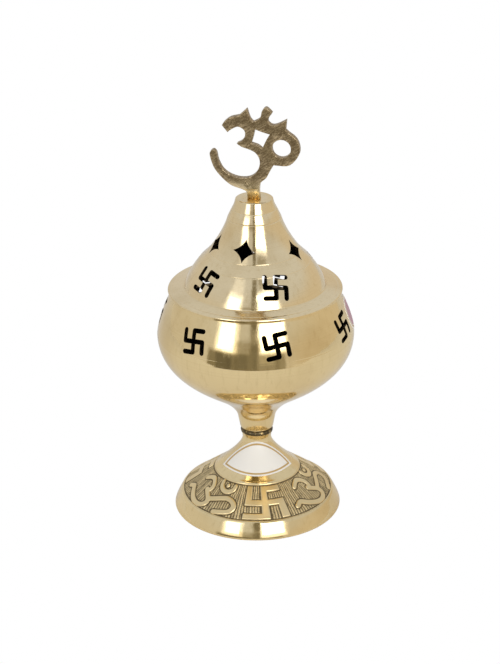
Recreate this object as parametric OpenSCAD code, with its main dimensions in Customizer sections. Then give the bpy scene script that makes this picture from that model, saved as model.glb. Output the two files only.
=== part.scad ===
// Brass incense burner: a hollow turned foot and a bowl held together by a
// threaded stud, a pierced lid that drops into the bowl's mouth, and a flat Om
// finial bolted through the top of the lid.
// Millimetres, Z up, origin in the middle of the base.

/* [Foot] */
// Radius of the foot at the table
foot_r = 35.8; // [32:0.1:44]
// Height of the foot, up to its joint with the stem
foot_h = 36.4; // [32:0.1:44]
// Height of the plain rim below the engraved band
foot_rim_h = 6.5; // [4:0.1:8]
// How far the plain rim leans in
foot_rim_lean = 2.8; // [1:0.1:4]
// Wall of the hollow foot
foot_wall = 1.8; // [1.4:0.1:2.4]
// Radius of the foot's narrow neck
neck_r = 6.1; // [5.8:0.1:8]

/* [Engraved band] */
// Height of the band's top edge
band_top = 17.6; // [14:0.1:19]
// Radius of the band's top edge
band_top_r = 18.3; // [16:0.1:22]
// Depth of the ground between the raised signs
engrave = 0.4; // [0.2:0.05:0.7]
// Raised signs round the band, Om and sun sign in turn
band_signs = 6; // [4:2:6]
// Width of the raised sun sign
band_sign_w = 17; // [12:0.5:18]
// Height of that sign up the slope
band_sign_h = 15.2; // [10:0.2:16]
// Width of the sun sign's lines
sun_line_w = 2.5; // [1.5:0.1:2.8]
// Width of the raised Om's lines
om_line_w = 2; // [1.5:0.1:2.4]

/* [Bowl] */
// Radius of the stem just above its joint
stem_r = 7.1; // [6.8:0.1:9]
// Height of the straight stem
stem_h = 5.1; // [4:0.1:8]
// Height from the joint to the bowl's widest line
belly_h = 44.5; // [40:0.1:54]
// Radius at the bowl's widest line
bowl_r = 41.3; // [38:0.1:50]
// Height from the joint to the bowl's rim
bowl_h = 63.6; // [58:0.1:77]
// How far the mouth is inside the widest radius
mouth_in = 8.1; // [6:0.1:9.5]
// Wall of the bowl and of the lid
wall = 1.5; // [1.2:0.1:2]

/* [Lid] */
// Height of the lid from the rim to its flat top
lid_h = 39.9; // [36:0.1:48]
// Radius of the flat top
lid_top_r = 7.5; // [7:0.1:9]
// How far the flange reaches past the bowl's rim
flange_over = 1.7; // [0.5:0.1:3]
// Thickness of the flange's edge
flange_edge = 0.8; // [0.6:0.1:1.4]
// Width of the sloping flange
flange_w = 6.8; // [5.5:0.1:8]
// Rise of the flange to the foot of the dome
flange_rise = 2.1; // [2:0.1:3]
// Radius of the shoulder at the top of the lower dome
shoulder_r = 22.8; // [21:0.1:25]
// Height of that shoulder above the rim
shoulder_h = 13.5; // [12:0.1:15]
// Depth of the skirt inside the bowl's mouth
skirt_h = 5.5; // [3:0.1:8]
// Gap between the skirt and the mouth
skirt_gap = 0.3; // [0.2:0.05:0.6]

/* [Pierced signs] */
// Width of a sun sign cut in the bowl and the lid
sign_w = 10.8; // [8:0.1:12]
// Width of the slots it is cut with
slot_w = 2; // [1.2:0.1:2.4]
// Height of the bowl's signs below its rim
bowl_sign_drop = 9.9; // [8:0.1:11]
// Height of the lid's signs above the rim
lid_sign_up = 9.6; // [8:0.1:10.5]
// Width of a four-pointed star
star_w = 9.8; // [7:0.1:10.4]
// Height of a four-pointed star
star_h = 10; // [6:0.1:10.6]
// Height of the stars above the rim
star_up = 20.6; // [20:0.1:22]

/* [Finial] */
// Height of the Om plate above the lid
om_h = 38.4; // [32:0.1:46]
// Width of the Om plate
om_w = 37.3; // [31:0.1:44]
// Thickness of the plate
om_t = 3; // [2:0.1:4]
// Turn of the plate about the upright axis, in degrees
om_yaw = -10; // [-45:1:45]
// Width of the neck across its flats
om_neck_w = 4.5; // [4.4:0.1:6]
// Height of the neck's flats
om_neck_h = 4; // [3:0.1:5]

/* [Fasteners] */
// Radius of the stud that joins the foot and the stem (M6)
stud_r = 3; // [2.5:0.5:3]
// Depth of the stud in the stem
stud_grip = 11; // [8:0.5:14]
// Nut on that stud, across flats
nut_af = 10; // [8:1:10]
// Height of that nut
nut_h = 5; // [4:0.5:6]
// Radius of its washer
washer_r = 6; // [5.5:0.1:6.5]
// Thickness of its washer
washer_t = 1.2; // [0.8:0.1:1.6]
// Radius of the finial's threaded end (M4)
om_stud_r = 2; // [1.5:0.5:2]
// Nut on the finial, across flats
om_nut_af = 7; // [5.5:0.5:7]
// Height of that nut
om_nut_h = 3.2; // [2.4:0.1:4]
// Radius of its washer
om_washer_r = 4.5; // [4:0.1:5]
// Thickness of its washer
om_washer_t = 0.8; // [0.5:0.1:1]
// Gap between a thread and the hole it screws into
thread_gap = 0.02; // [0.01:0.01:0.05]
// Gap round a stud in a plain hole
stud_gap = 0.2; // [0.1:0.05:0.4]

/* [Labels] */
// Width of the foot's pointed paper label, before it is wrapped round
foot_label_w = 29.5; // [16:0.5:30]
// Height of that label along the slope
foot_label_h = 15; // [8:0.5:15]
// Width of the bowl's oval paper label
bowl_label_w = 16; // [12:0.5:17]
// Height of that label
bowl_label_h = 15; // [8:0.5:15]
// Thickness of the paper
label_t = 0.2; // [0.15:0.05:0.3]

/* [Hidden] */
$fn = 96;

// Levels that pieces share
joint_z = foot_h;
belly_z = joint_z + belly_h;
rim_z = joint_z + bowl_h;
top_z = rim_z + lid_h;

// Radii that pieces share
mouth_r = bowl_r - mouth_in;
flange_r = mouth_r + wall + flange_over;
crease_r = flange_r - flange_w;
skirt_r = mouth_r - skirt_gap;

// The nut's seat inside the foot, and the finial nut's seat inside the lid
seat_z = foot_h - 10.2;
om_seat_z = top_z - wall;
thread_end = 1.5;

// Hand-cut openings: [angle from the front, how far it was cut too high]
bowl_sign_at = [[-94, 0], [-40, -0.8], [12.6, 0.1], [66.4, -1.1], [118, 0], [168.6, 0],
    [217, 0]];
bowl_sign_lean = 8;
lid_sign_at = [[-52, 0], [19.1, 0.3], [112, 0], [172, 0], [243, 0]];
lid_sign_lean = -8;
star_at = [[-78.5, 0.4], [-16, 1.5], [68, -1.5], [136, 0], [208, 0]];
star_lean = -5;
band_sign_at = 7;
bowl_label_at = bowl_sign_at[3][0] + 22;

brass = "#d9be7c";
dull_brass = "#8f8058";
paper = "#f2ecdc";

// ---- curves ----

function dir(a) = [cos(a), sin(a)];

function bezier(p, u, v, q, t) =
    pow(1 - t, 3) * p + 3 * t * pow(1 - t, 2) * u + 3 * t * t * (1 - t) * v + pow(t, 3) * q;

// From p to q, leaving at angle a and arriving at angle b; k is the pull of each end
function curve(p, q, a, b, ka, kb, n) =
    let (d = norm(q - p))
    [for (i = [0:n]) bezier(p, p + ka * d * dir(a), q - kb * d * dir(b), q, i / n)];

// Smooth closed outline through points [x, y, corner]; a corner keeps its point sharp
function loop_at(pts, i) = pts[(i + len(pts)) % len(pts)];
function xy(p) = [p.x, p.y];
function knot_slope(pts, i) = (xy(loop_at(pts, i + 1)) - xy(loop_at(pts, i - 1))) / 6;
function end_slope(pts, i, way) =
    loop_at(pts, i)[2] ? (xy(loop_at(pts, i + way)) - xy(loop_at(pts, i))) / 3
                       : way * knot_slope(pts, i);
function smooth_loop(pts, n) =
    [for (i = [0:len(pts) - 1], k = [0:n - 1])
        let (p = xy(pts[i]), q = xy(loop_at(pts, i + 1)))
        bezier(p, p + end_slope(pts, i, 1), q + end_slope(pts, i + 1, -1), q, k / n)];

// Smooth open line through points
function open_slope(pts, i) =
    (pts[min(i + 1, len(pts) - 1)] - pts[max(i - 1, 0)]) / 6;
function smooth_line(pts, n) =
    [for (i = [0:len(pts) - 2], k = [0:n - 1])
        bezier(pts[i], pts[i] + open_slope(pts, i), pts[i + 1] - open_slope(pts, i + 1),
            pts[i + 1], k / n),
     pts[len(pts) - 1]];

function way(pts, i) =
    let (d = pts[min(i + 1, len(pts) - 1)] - pts[max(i - 1, 0)]) d / norm(d);
// The line d to the left of pts
function beside(pts, d) =
    [for (i = [0:len(pts) - 1]) let (w = way(pts, i)) pts[i] + d * [-w.y, w.x]];
function reversed(pts) = [for (i = [len(pts) - 1:-1:0]) pts[i]];

// Radius of an outline at height z, and how far its face leans back there, in degrees
function radius_at(outline, z) = lookup(z, [for (p = outline) [p.y, p.x]]);
function lean_at(outline, z) =
    let (reach = 3) atan((radius_at(outline, z - reach) - radius_at(outline, z + reach)) / 2 / reach);

// ---- outlines: [radius, height], upward ----

foot_rim = curve([foot_r, 0.5], [foot_r - foot_rim_lean, foot_rim_h], 106, 118, 0.3, 0.3, 4);
band_start = [foot_r - foot_rim_lean - 0.6, foot_rim_h + 0.8];
band_end = [band_top_r, band_top];
foot_cone = curve(band_end + [-0.9, 0.6], [neck_r, joint_z - 4.6], 141, 87, 0.31, 0.2, 9);
foot_bead = [[neck_r + 0.1, joint_z - 3.4], [neck_r + 0.7, joint_z - 1.9],
    [neck_r + 0.8, joint_z - 1.2], [neck_r + 0.4, joint_z - 0.4], [neck_r - 0.4, joint_z]];
foot_outside = concat([[foot_r - 0.3, 0]], foot_rim, [band_start, band_end], foot_cone,
    foot_bead);

stem_top = [stem_r + 0.8, joint_z + stem_h];
belly_foot = [bowl_r * 0.533, joint_z + belly_h * 0.4315];
flare = curve(stem_top, belly_foot, 83, 32.5, 0.26, 0.36, 7);
belly = curve(belly_foot, [bowl_r, belly_z], 32.5, 90, 0.38, 0.38, 10);
bowl_edge = [mouth_r + wall + 0.3, rim_z - 1];
bowl_neck = curve([bowl_r - 0.05, belly_z + 0.4], bowl_edge, 97, 115, 0.32, 0.34, 6);
bowl_inside = beside(concat([for (i = [0:9]) belly[i]], bowl_neck), wall);

dome_foot = [crease_r, rim_z + flange_rise];
shoulder = [shoulder_r, rim_z + shoulder_h];
ledge = [shoulder_r - 3.6, rim_z + shoulder_h + 3.5];
line_low = [lid_top_r + 3.5, top_z - 8];
line_high = [lid_top_r + 0.8, top_z - 2.5];
dome = curve(dome_foot, shoulder, 109, 128, 0.32, 0.35, 5);
spire = curve(ledge, line_low, 129, 106, 0.26, 0.33, 6);
lid_wall = concat(dome, spire, [line_high]);

// Om plate, in units of a tenth of its height, from the middle of its neck: [x, y, corner]
om_unit = 3.84;
om_outline = [
    [-4.65, 4.85, 0], [-4.5, 4, 0], [-4.1, 3.05, 0], [-3.25, 2.05, 0], [-2.35, 1.35, 0],
    [-1.3, 1, 0], [-0.75, 0.7, 0], [-0.65, 0, 1], [0.65, 0, 1], [0.6, 0.9, 0], [0.75, 1.75, 0],
    [1.35, 2.3, 0], [1.75, 3.05, 0], [2.15, 3.78, 1], [3.6, 3.75, 0], [4.35, 4.25, 0],
    [4.85, 5, 0], [4.95, 5.6, 0], [4.8, 6.3, 0], [4.4, 6.9, 0], [3.85, 7.3, 0],
    [3.45, 7.65, 1], [3.55, 8.75, 1], [2.6, 8.25, 0], [2, 8.15, 0], [1.6, 8.5, 0],
    [1.7, 8.95, 0], [2.05, 9.45, 1], [1.4, 10, 0], [0.98, 9.65, 0], [0.85, 9.1, 0],
    [0.62, 8.72, 0], [0, 8.4, 1], [-0.32, 8.8, 0], [-0.65, 9.8, 1], [-1.45, 9.05, 1],
    [-2.4, 8.8, 0], [-3, 8.35, 0], [-3.3, 7.95, 1], [-2.7, 7.2, 1], [-2.35, 7.5, 0],
    [-1.6, 7.85, 0], [-0.95, 7.5, 0], [-0.85, 6.9, 0], [-1.2, 6.3, 0], [-1.75, 6, 1],
    [-1.2, 5.65, 0], [-0.4, 5.4, 0], [0.25, 5.05, 0], [0.65, 4.4, 0], [0.65, 3.6, 0],
    [0.2, 2.75, 0], [-0.5, 2.3, 0], [-1.4, 2.2, 0], [-2.4, 2.45, 0], [-3.25, 3.05, 0],
    [-3.75, 4, 0], [-3.95, 4.9, 0], [-4.3, 5.2, 0]];
om_diamond = [[0.2, 7.63, 1], [1, 7.35, 0], [1.8, 7.13, 1], [1.35, 6.4, 0], [0.95, 5.5, 1],
    [0.5, 5.85, 0], [-0.2, 6.07, 1], [0.02, 6.8, 0]];
om_ring = [3, 5.6];
om_ring_r = 1;

// Raised Om of the band, in millimetres along and up the slope from its middle
om_lobe = smooth_line([[-9.6, 3.9], [-7.1, 5.6], [-4.6, 5.9], [-2.1, 4.4], [-1, 2.3],
    [-1.9, -0.3]], 3);
om_bowl = smooth_line([[-3.1, 0.5], [-0.1, -1.6], [1.4, -3.3], [1.4, -5.2], [-0.2, -6.7],
    [-2.6, -7.2], [-5.4, -6.5], [-8.5, -4.8], [-11.5, -3.1], [-13.5, -4.4]], 3);
om_tail = smooth_line([[1.2, -2.8], [4, -1.5], [7.4, -0.1], [10.1, 0.4], [12.6, -0.7],
    [13.7, -2.8], [12.4, -5.3], [9.6, -6.3], [6.8, -7.1]], 3);
om_crescent = smooth_line([[2.5, 7.1], [3.6, 4.9], [6, 3.4], [8.5, 3.4], [10.7, 4.8],
    [11.2, 6.6]], 3);
om_dot = [6.8, 6.1];
om_dot_r = 0.9;

// ---- flat shapes ----

// Sun sign: a cross whose four arms turn clockwise, cut with a round cutter
module sun_sign(width, line) {
    h = (width - line) / 2;
    square([line, 2 * h], center = true);
    square([2 * h, line], center = true);
    for (a = [0:90:270]) rotate(a) {
        translate([0, h - line / 2]) square([h, line]);
        translate([0, h]) circle(d = line);
        translate([h, h]) circle(d = line);
    }
}

// Four-pointed star with hollow sides
module star(width, height) {
    polygon([for (q = [0:3], k = [0:5])
        let (a = [width / 2, 0], b = [0, height / 2], t = k / 6, s = 1 - t,
            p = s * s * a + 2 * s * t * (0.26 * (a + b)) + t * t * b,
            m = q % 2 == 0 ? [p.x, p.y] : [t * t * a.x + 2 * s * t * 0.26 * a.x,
                s * s * b.y + 2 * s * t * 0.26 * b.y])
        [(q == 0 || q == 3 ? 1 : -1) * m.x, (q < 2 ? 1 : -1) * m.y]]);
}

module oval(width, height) {
    polygon([for (a = [0:10:350]) [width / 2 * cos(a), height / 2 * sin(a)]]);
}

// Two equal arcs that meet in a point at each end
module lens(width, height) {
    r = (width * width + height * height) / 4 / height;
    reach = asin(width / 2 / r);
    polygon([for (side = [1, -1], t = [-1:0.1:0.9])
        side * [r * sin(t * reach), r * cos(t * reach) - r + height / 2]]);
}

// Outline of a line of constant width along a path, with round ends
function cap(path, i, d, line) =
    let (w = d * way(path, i))
    [for (t = [30:30:150]) path[i] + line / 2 * (cos(t) * [-w.y, w.x] + sin(t) * w)];
function ribbon(path, line) =
    concat(beside(path, line / 2), cap(path, len(path) - 1, 1, line),
        reversed(beside(path, -line / 2)), cap(path, 0, -1, line));

// Outline of the sun sign with square ends: one arm, turned four times, then widened
function sun_outline(width, height, line) =
    let (h = height / 2, g = line / 2,
        arm = [[g, g], [g, h - line], [h, h - line], [h, h], [-g, h]])
    [for (a = [0:90:270], p = arm)
        [width / height * (cos(a) * p.x - sin(a) * p.y), cos(a) * p.y + sin(a) * p.x]];

// Bends a drawing round the foot's band, seen from above
function bent(pts) =
    let (mid = (band_start + band_end) / 2,
        tilt = norm(band_end - band_start) / (band_start.x - band_end.x))
    [for (p = pts)
        let (a = p.x / mid.x * 180 / PI, r = mid.x - p.y / tilt) [r * sin(a), -r * cos(a)]];

module raised_sun() {
    polygon(bent(sun_outline(band_sign_w, band_sign_h, sun_line_w)));
}

module raised_om() {
    for (path = [om_lobe, om_bowl, om_tail, om_crescent]) polygon(bent(ribbon(path, om_line_w)));
    polygon(bent([for (a = [0:30:330]) om_dot + om_dot_r * [cos(a), sin(a)]]));
}

// ---- placing ----

// Stands a flat shape on an outline at height z, facing out at angle a from the front
module on_wall(outline, z, a, depth_in, depth_out) {
    rotate([0, 0, a]) translate([0, -radius_at(outline, z), z])
        rotate([90 - lean_at(outline, z), 0, 0])
        translate([0, 0, -depth_in]) linear_extrude(depth_in + depth_out) children();
}

module turned(points) {
    rotate_extrude() polygon(points);
}

module ring(outer_r, inner_r, z, h) {
    translate([0, 0, z]) difference() {
        cylinder(r = outer_r, h = h);
        translate([0, 0, -1]) cylinder(r = inner_r, h = h + 2);
    }
}

module hex_nut(across, bore_r, z, h) {
    translate([0, 0, z]) difference() {
        cylinder(r = across / sqrt(3), h = h, $fn = 6);
        translate([0, 0, -1]) cylinder(r = bore_r, h = h + 2);
    }
}

// ---- pieces ----

// The ground of the engraved band, with the raised signs left standing
module band_ground() {
    away = band_end - band_start;
    side = [away.y, -away.x] / norm(away);
    low = band_start + away * 0.02;
    high = band_end - away * 0.02;
    difference() {
        turned([low - engrave * side, low + side, high + side, high - engrave * side]);
        for (i = [0:band_signs - 1])
            rotate([0, 0, band_sign_at + i * 360 / band_signs]) linear_extrude(band_top + 4)
                if (i % 2 == 0) raised_sun(); else raised_om();
    }
}

module foot() {
    inner = beside(concat(foot_rim, [band_start, band_end], foot_cone), foot_wall);
    hollow = [for (p = inner) if (p.y > 0.6 && p.y < seat_z - 0.5) p];
    color(brass) difference() {
        turned(concat(foot_outside, [[stud_r + stud_gap, joint_z], [stud_r + stud_gap, seat_z],
            [hollow[len(hollow) - 1].x, seat_z]], reversed(hollow),
            [[foot_r - foot_wall, 0]]));
        band_ground();
    }
}

module bowl() {
    color(brass) difference() {
        turned(concat([[stud_r + thread_gap, joint_z], [neck_r - 0.4, joint_z],
            [stem_r - 0.2, joint_z + 0.3], [stem_r, joint_z + 0.8]], flare,
            [for (i = [1:10]) belly[i]], bowl_neck,
            [bowl_edge + [-0.1, 0.7], [mouth_r + wall - 0.1, rim_z], [mouth_r + 0.2, rim_z],
                [mouth_r, rim_z - 0.3], [mouth_r, rim_z - 2]],
            reversed([for (p = bowl_inside) if (p.y < rim_z - 3) p]),
            [[0, bowl_inside[0].y], [0, joint_z + stud_grip],
                [stud_r + thread_gap, joint_z + stud_grip]]));
        for (at = bowl_sign_at)
            on_wall(bowl_neck, rim_z - bowl_sign_drop + at[1], at[0], wall + 5, 3)
                rotate(bowl_sign_lean) sun_sign(sign_w, slot_w);
    }
}

module stem_stud() {
    low = seat_z - washer_t - nut_h - thread_end;
    color(dull_brass) translate([0, 0, low]) cylinder(r = stud_r, h = joint_z + stud_grip - low);
}

module foot_washer() {
    color(brass) ring(washer_r, stud_r + stud_gap, seat_z - washer_t, washer_t);
}

module foot_nut() {
    color(brass) hex_nut(nut_af, stud_r + thread_gap, seat_z - washer_t - nut_h, nut_h);
}

// A skin of paper on the outside of an outline, cut to the flat shape given
module label(outline, z, a) {
    color(paper) intersection() {
        turned(concat(outline, reversed(beside(outline, -label_t))));
        on_wall(outline, z, a, radius_at(outline, z), 4) children();
    }
}

module foot_label() {
    label(foot_cone, (foot_cone[0].y + foot_cone[len(foot_cone) - 1].y) / 2, 0)
        lens(foot_label_w, foot_label_h);
}

module bowl_label() {
    label(bowl_neck, rim_z - bowl_sign_drop - 0.8, bowl_label_at)
        oval(bowl_label_w, bowl_label_h);
}

module lid() {
    inner = beside(lid_wall, wall);
    color(brass) difference() {
        turned(concat([[skirt_r - wall, rim_z - skirt_h], [skirt_r - 0.3, rim_z - skirt_h],
            [skirt_r, rim_z - skirt_h + 0.5], [skirt_r, rim_z], [flange_r - 0.4, rim_z],
            [flange_r, rim_z + 0.3], [flange_r - 0.3, rim_z + flange_edge]], lid_wall,
            [[lid_top_r + 0.2, top_z - 0.3], [lid_top_r - 0.3, top_z],
                [om_stud_r + stud_gap, top_z], [om_stud_r + stud_gap, om_seat_z],
                [inner[len(inner) - 1].x - 0.2, om_seat_z]],
            reversed([for (p = inner) if (p.y < om_seat_z - 0.3) p]),
            [[skirt_r - wall, rim_z + 0.3]]));
        for (at = lid_sign_at)
            on_wall(lid_wall, rim_z + lid_sign_up + at[1], at[0], wall + 5, 3)
                rotate(lid_sign_lean) sun_sign(sign_w, slot_w);
        for (at = star_at)
            on_wall(lid_wall, rim_z + star_up + at[1], at[0], wall + 4, 3)
                rotate(star_lean) star(star_w, star_h);
    }
}

module om_finial() {
    sx = om_w / 37.3;
    sy = om_h / 38.4;
    stretch = function (pts) [for (p = pts) [p.x * om_unit * sx, p.y * om_unit * sy, p[2]]];
    low = om_seat_z - om_washer_t - om_nut_h - thread_end;
    color(dull_brass) rotate([0, 0, om_yaw]) {
        translate([0, 0, top_z]) rotate([90, 0, 0]) translate([0, 0, -om_t / 2])
            linear_extrude(om_t) difference() {
                polygon(smooth_loop(stretch(om_outline), 3));
                polygon(smooth_loop(stretch(om_diamond), 2));
                translate([om_ring.x * om_unit * sx, om_ring.y * om_unit * sy])
                    circle(r = om_ring_r * om_unit * min(sx, sy));
            }
        translate([0, 0, top_z]) rotate([0, 0, 22.5])
            cylinder(r = om_neck_w / 2 / cos(22.5), h = om_neck_h, $fn = 8);
        translate([0, 0, low]) cylinder(r = om_stud_r, h = top_z + 1 - low);
    }
}

module finial_washer() {
    color(brass) ring(om_washer_r, om_stud_r + stud_gap, om_seat_z - om_washer_t, om_washer_t);
}

module finial_nut() {
    color(brass) hex_nut(om_nut_af, om_stud_r + thread_gap, om_seat_z - om_washer_t - om_nut_h,
        om_nut_h);
}

foot();
bowl();
stem_stud();
foot_washer();
foot_nut();
foot_label();
bowl_label();
lid();
om_finial();
finial_washer();
finial_nut();
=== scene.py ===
"""Footed brass incense burner with a pierced bowl, a pierced lift-off lid and a flat Om finial."""

import math

import bmesh
import bpy
import numpy as np
from bpy.props import FloatProperty, FloatVectorProperty, IntProperty, PointerProperty
from mathutils import Matrix, Vector


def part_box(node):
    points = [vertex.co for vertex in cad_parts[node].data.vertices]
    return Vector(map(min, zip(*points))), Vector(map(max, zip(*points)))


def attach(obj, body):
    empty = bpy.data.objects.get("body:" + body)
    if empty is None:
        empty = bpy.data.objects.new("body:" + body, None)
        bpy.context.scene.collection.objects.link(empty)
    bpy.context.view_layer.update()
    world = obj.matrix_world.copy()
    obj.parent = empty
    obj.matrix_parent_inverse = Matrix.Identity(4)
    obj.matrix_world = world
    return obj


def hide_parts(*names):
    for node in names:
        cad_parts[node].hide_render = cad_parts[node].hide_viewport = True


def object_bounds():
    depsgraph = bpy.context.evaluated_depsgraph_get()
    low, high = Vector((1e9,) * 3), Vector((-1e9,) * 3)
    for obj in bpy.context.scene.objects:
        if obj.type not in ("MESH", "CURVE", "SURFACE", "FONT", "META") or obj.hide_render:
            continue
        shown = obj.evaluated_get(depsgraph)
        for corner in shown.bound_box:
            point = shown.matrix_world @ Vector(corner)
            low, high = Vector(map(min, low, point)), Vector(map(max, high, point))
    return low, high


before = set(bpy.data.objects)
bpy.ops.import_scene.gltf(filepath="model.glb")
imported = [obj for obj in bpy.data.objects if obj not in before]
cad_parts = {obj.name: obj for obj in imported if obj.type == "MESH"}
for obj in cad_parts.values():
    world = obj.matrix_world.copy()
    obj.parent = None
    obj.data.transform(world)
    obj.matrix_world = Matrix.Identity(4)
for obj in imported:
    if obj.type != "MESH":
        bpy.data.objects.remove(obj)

bl_info = {
    "name": "Brass Incense Burner",
    "version": (1, 0, 0),
    "blender": (4, 5, 0),
    "location": "View3D > Sidebar > Burner",
    "description": "Turned, pierced and engraved brass incense burner on its stage",
    "category": "Add Mesh",
}

MM = 0.001

CAD_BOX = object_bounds()
FOOT_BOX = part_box("foot")
BOWL_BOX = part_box("bowl")
LID_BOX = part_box("lid")

# Sizes here are in millimetres and angles in degrees, unless said otherwise.

FOOT_WALL = 1.8
FOOT_BORE = 3.2
STUD_BORE = 3.02
FINIAL_BORE = 2.2
SEAT_THICKNESS = 10.2
STUD_HOLE_DEPTH = 11
# How far below the joint the bead is painted dark, as painted shade of the recess there
BEAD_TALL = 2.3
SKIRT_GAP = 0.3
SKIRT_DEPTH = 5.5
RIM_SLOPE = 0.2

# Hand-cut openings: the angle from the front, and how much too high each was cut
BOWL_SIGNS = ((-94, 0), (-40, -0.8), (12.6, 0.1), (66.4, -1.1), (118, 0), (168.6, 0), (217, 0))
LID_SIGNS = ((-52, 0), (19.1, 0.3), (112, 0), (172, 0), (243, 0))
LID_STARS = ((-78.5, 0.4), (-16, 1.5), (68, -1.5), (136, 0), (208, 0))
BOWL_SIGN_DROP = 9.9
LID_SIGN_UP = 9.6
STAR_UP = 20.6
SIGN_TILT = 8
STAR_TILT = 5
SIGN_CUT = 6
STAR_CUT = 5
CUTTER_PROUD = 3

# Engraved band: faces along it and round it, and the raised signs on it
BAND_ROWS = 76
BAND_STEPS = 720
BAND_SIGNS = 6
BAND_SIGN_AT = 7.0
RIBS_ROUND = 150
RIB_ROW = 4.4
RIB_SEED = 7
OM_LINE = 2.0
SUN_LINE = 2.5
SUN_SIZE = (17.0, 15.2)

OM_LOBE = [(-9.6, 3.9), (-7.1, 5.6), (-4.6, 5.9), (-2.1, 4.4), (-1, 2.3), (-1.9, -0.3)]
OM_BOWL = [(-3.1, 0.5), (-0.1, -1.6), (1.4, -3.3), (1.4, -5.2), (-0.2, -6.7), (-2.6, -7.2),
           (-5.4, -6.5), (-8.5, -4.8), (-11.5, -3.1), (-13.5, -4.4)]
OM_TAIL = [(1.2, -2.8), (4, -1.5), (7.4, -0.1), (10.1, 0.4), (12.6, -0.7), (13.7, -2.8),
           (12.4, -5.3), (9.6, -6.3), (6.8, -7.1)]
OM_CRESCENT = [(2.5, 7.1), (3.6, 4.9), (6, 3.4), (8.5, 3.4), (10.7, 4.8), (11.2, 6.6)]
OM_DOT = (6.8, 6.1)
OM_DOT_RADIUS = 0.9

# Labels: width and height, the thickness of the paper, and the bowl label's place
FOOT_LABEL = (29.5, 15)
BOWL_LABEL = (16, 15)
PAPER = 0.2
BOWL_LABEL_DROP = 10.7
BOWL_LABEL_AT = 89

# Further than any two spots on the burner
FAR = 1e9

# Parts of the room: from and to round the object, from and to in height, how much light is
# taken or added, and for the lit parts how wide their edges are
DIM_PARTS = (
    (-26, 4, 10, 21, 0.38), (-56, 3, -40, 10.5, 0.62), (3, 33, -40, 10.5, 0.46),
    (-46, -28, -40, 9, 0.32), (-20, -10, -9, 12, 0.2), (8, 36, 46, 56, 0.4),
    (-7, 3, 23, 54, 0.68), (-7, 3, 10, 23, 0.45), (-33, -29, -40, 9, 0.15),
    (-24, -21, -40, 9, 0.2), (-3, 0, -40, 8, 0.2), (22, 26, -40, 8, 0.2),
)
LIT_PARTS = (
    (-50, -22, 10.5, 38, 0.7, 5), (4, 39, 10.5, 43, 0.9, 5), (4, 19, -2, 10, 0.12, 4),
    (-48, -24, 36, 52, 0.28, 5),
)
DIM_EDGE = 4
UPPER_LIGHT = (1.0, 1.03, 1.12)
LOWER_LIGHT = (1.0, 0.98, 0.97)
WARM_SIDE = (1.0, 0.91, 0.79)
DIM_LIGHT = (1.0, 0.91, 0.68)
WHITE = (1, 1, 1)

# Softboxes, as seen from the object: the angle from the front, how high, how wide and how tall
SOFTBOX_LEFT = (-36, 23, 19, 22)
SOFTBOX_RIGHT = (21, 27, 29, 28)
SOFTBOX_COLOUR = (1.0, 0.99, 0.97)
# In metres: how far off they stand and the height they are aimed at, then the floor's half
# width and half depth, and how far behind the burner its middle is
SOFTBOX_REACH = 1.2
SOFTBOX_AIM = 0.09
FLOOR_HALF = (1.6, 1.2, 1)
FLOOR_BEHIND = 0.85

FLOOR_COLOUR = (0.86, 0.84, 0.80, 1)
CAMERA_LENS = 104.4
CAMERA_SHIFT = -0.0086
CAMERA_ROLL = -0.65


# ---- sizes and colours that a user would change ----


def length(name, default, description, **limits):
    return FloatProperty(
        name=name, description=description, default=default, unit="LENGTH",
        subtype="DISTANCE", precision=5, **limits,
    )


def brightness(name, default, description):
    return FloatProperty(name=name, description=description, default=default, min=0.0)


def colour(name, default, description):
    return FloatVectorProperty(
        name=name, description=description, default=default, size=3, subtype="COLOR",
        min=0.0, max=1.0,
    )


class BurnerSizes(bpy.types.PropertyGroup):
    foot_radius: length("Foot radius", FOOT_BOX[1].x, "Radius of the foot at the table")
    joint_height: length("Joint height", FOOT_BOX[1].z, "Where the foot meets the stem")
    belly_radius: length("Bowl radius", BOWL_BOX[1].x, "Radius at the bowl's widest line")
    rim_height: length("Rim height", BOWL_BOX[1].z, "Height of the bowl's rim")
    lid_height: length("Lid top", LID_BOX[1].z, "Height of the lid's flat top")
    flange_radius: length("Flange radius", LID_BOX[1].x, "Radius of the lid's flange")
    bowl_wall: length("Wall", 0.0015, "Wall of the bowl and the lid", min=0.0005)
    sign_width: length("Sign width", 0.0108, "Width of a pierced sun sign")
    slot_width: length("Slot width", 0.0020, "Width of the slots it is cut with")
    star_width: length("Star width", 0.0098, "Width of a pierced star")
    star_height: length("Star height", 0.0100, "Height of a pierced star")
    engraving: length("Engraving depth", 0.0004, "Depth of the band's ground")
    rib_height: length("Rib height", 0.00031, "Height of the hatching on that ground")
    turning_steps: IntProperty(
        name="Turning steps", description="Faces round a turned wall", default=320,
        min=48, max=512,
    )


class BurnerColours(bpy.types.PropertyGroup):
    brass: colour("Brass", (0.92, 0.735, 0.40), "Polished brass of the foot and the bowl")
    lid_brass: colour("Lid brass", (0.92, 0.755, 0.46), "Polished brass of the lid")
    tarnish: colour("Tarnish", (0.62, 0.44, 0.19), "Brass that has dulled a little")
    patina: colour("Patina", (0.15, 0.115, 0.062), "Dark oxide in the engraved ground")
    # Painted shade: the bead under the stem is painted near black for the shade in the recess
    # between foot and stem
    bead: colour("Bead", (0.10, 0.08, 0.045), "Oxide on the bead under the stem")
    cast: colour("Cast brass", (0.64, 0.50, 0.30), "Brass as it came from the mould")
    cast_dark: colour("Cast hollows", (0.25, 0.18, 0.095), "Dull skin low in the casting")
    smoke: colour("Smoke", (0.035, 0.022, 0.010), "Brass browned by smoke on the inside")
    soot: colour("Soot", (0.005, 0.004, 0.003), "Soot where the smoke is thickest")
    paper: colour("Paper", (0.95, 0.93, 0.87), "Coated paper of the labels")
    border: colour("Label border", (0.55, 0.36, 0.12), "Printed line round a label")
    rose: colour("Label middle", (0.50, 0.27, 0.31), "Plain printed middle of the bowl's label")


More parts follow.
